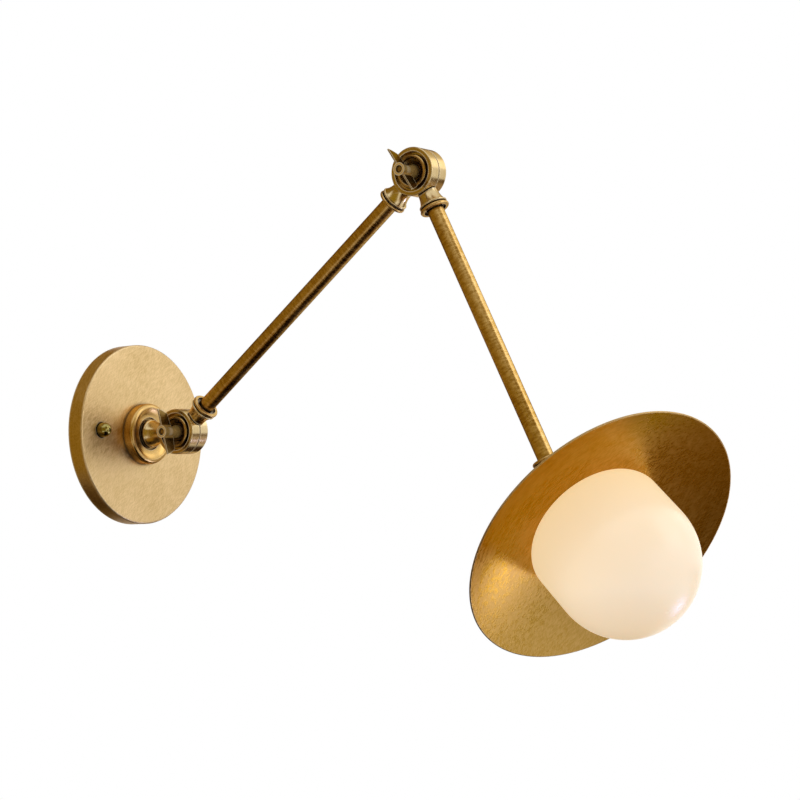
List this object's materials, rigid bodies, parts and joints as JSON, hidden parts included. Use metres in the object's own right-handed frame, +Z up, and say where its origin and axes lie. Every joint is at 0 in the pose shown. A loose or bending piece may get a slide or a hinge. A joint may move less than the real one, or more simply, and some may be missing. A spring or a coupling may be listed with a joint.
{
  "type": "adjustable wall lamp",
  "caption": "Wall lamp with a round canopy, hinged tube arms on wing-nut friction knuckles, and a swivelling shallow dish shade round an opal glass globe.",
  "frame": {"origin": "centre of the canopy's back, in the wall plane, midway between the outlet-box screws", "axes": "+Y into the wall, +Z up, the arms reach out along -Y and the wing nuts of the arms face -X"},
  "size_m": [0.178, 0.4573, 0.3325],
  "materials": {
    "aged_brass": "satin, aged",
    "steel": "zinc plated",
    "green_screw": "passivated",
    "fibre": "matte",
    "flex": "matte",
    "connector": "matte",
    "gasket": "matte",
    "opal_glass": "opal, satin",
    "porcelain": "glazed",
    "bulb_metal": "bright",
    "bulb_glass": "frosted"
  },
  "bodies": {
    "base": {"back_plate": "aged_brass", "crossbar": "steel", "canopy_studs": "steel", "stud_lock_nuts": "steel", "canopy_cap_nuts": "aged_brass", "ground_screw": "green_screw", "wall_nipple": "steel", "nipple_lock_washer": "steel", "nipple_lock_nut": "steel", "escutcheon": "aged_brass", "canopy_leads": "flex", "wire_connectors": "connector", "wall_knuckle_near": "aged_brass", "wall_friction_washer": "fibre", "wall_cup_washer": "aged_brass", "wall_pivot_bolt": "aged_brass"},
    "wall_wing": {"wall_wing_nut": "aged_brass"},
    "first_arm": {"wall_knuckle_far": "aged_brass", "arm_1_tube": "aged_brass", "arm_1_pipe": "steel", "arm_1_flex": "flex", "arm_1_lower_ferrule": "aged_brass", "arm_1_upper_ferrule": "aged_brass", "elbow_knuckle_near": "aged_brass", "elbow_friction_washer": "fibre", "elbow_cup_washer": "aged_brass", "elbow_pivot_bolt": "aged_brass"},
    "elbow_wing": {"elbow_wing_nut": "aged_brass"},
    "second_arm": {"elbow_knuckle_far": "aged_brass", "arm_2_tube": "aged_brass", "arm_2_pipe": "steel", "arm_2_flex": "flex", "arm_2_upper_ferrule": "aged_brass", "arm_2_lower_ferrule": "aged_brass", "swivel_bushing": "aged_brass"},
    "swivel": {"shade_knuckle_near": "aged_brass", "swivel_clip": "steel", "shade_friction_washer": "fibre", "shade_cup_washer": "aged_brass", "shade_pivot_bolt": "aged_brass"},
    "shade_wing": {"shade_wing_nut": "aged_brass"},
    "shade": {"shade_knuckle_far": "aged_brass", "shade_cap": "aged_brass", "shade_dish": "aged_brass", "globe_gallery": "aged_brass", "globe_gasket": "gasket", "globe_lock_ring": "aged_brass", "globe": "opal_glass", "shade_nipple": "steel", "shade_lock_nut": "steel", "lampholder": "porcelain", "lampholder_shell": "bulb_metal", "lampholder_contact": "bulb_metal", "bulb_cap": "bulb_metal", "bulb": "bulb_glass"}
  },
  "joints": [
    {"name": "wall_hinge", "type": "hinge", "parent": "base", "child": "first_arm", "pos_m": [0, -0.0495, 0], "axis": [-1, 0, 0], "range_deg": [-70, 48]},
    {"name": "wall_nut_turn", "type": "hinge", "parent": "base", "child": "wall_wing", "pos_m": [0, -0.0495, 0], "axis": [-1, 0, 0], "range_deg": [-180, 180]},
    {"name": "elbow_hinge", "type": "hinge", "parent": "first_arm", "child": "second_arm", "pos_m": [0, -0.26074, 0.15918], "axis": [-1, 0, 0], "range_deg": [-20, 115]},
    {"name": "elbow_nut_turn", "type": "hinge", "parent": "first_arm", "child": "elbow_wing", "pos_m": [0, -0.26074, 0.15918], "axis": [-1, 0, 0], "range_deg": [-180, 180]},
    {"name": "shade_swivel", "type": "hinge", "parent": "second_arm", "child": "swivel", "pos_m": [0, -0.35603, -0.05235], "axis": [0, -0.4107, -0.9118], "range_deg": [-185, 115]},
    {"name": "shade_tilt", "type": "hinge", "parent": "swivel", "child": "shade", "pos_m": [0, -0.35603, -0.05235], "axis": [-0.8171, 0.5256, -0.2368], "range_deg": [-126, 64]},
    {"name": "shade_nut_turn", "type": "hinge", "parent": "swivel", "child": "shade_wing", "pos_m": [0, -0.35603, -0.05235], "axis": [-0.8171, 0.5256, -0.2368], "range_deg": [-180, 180]}
  ]
}
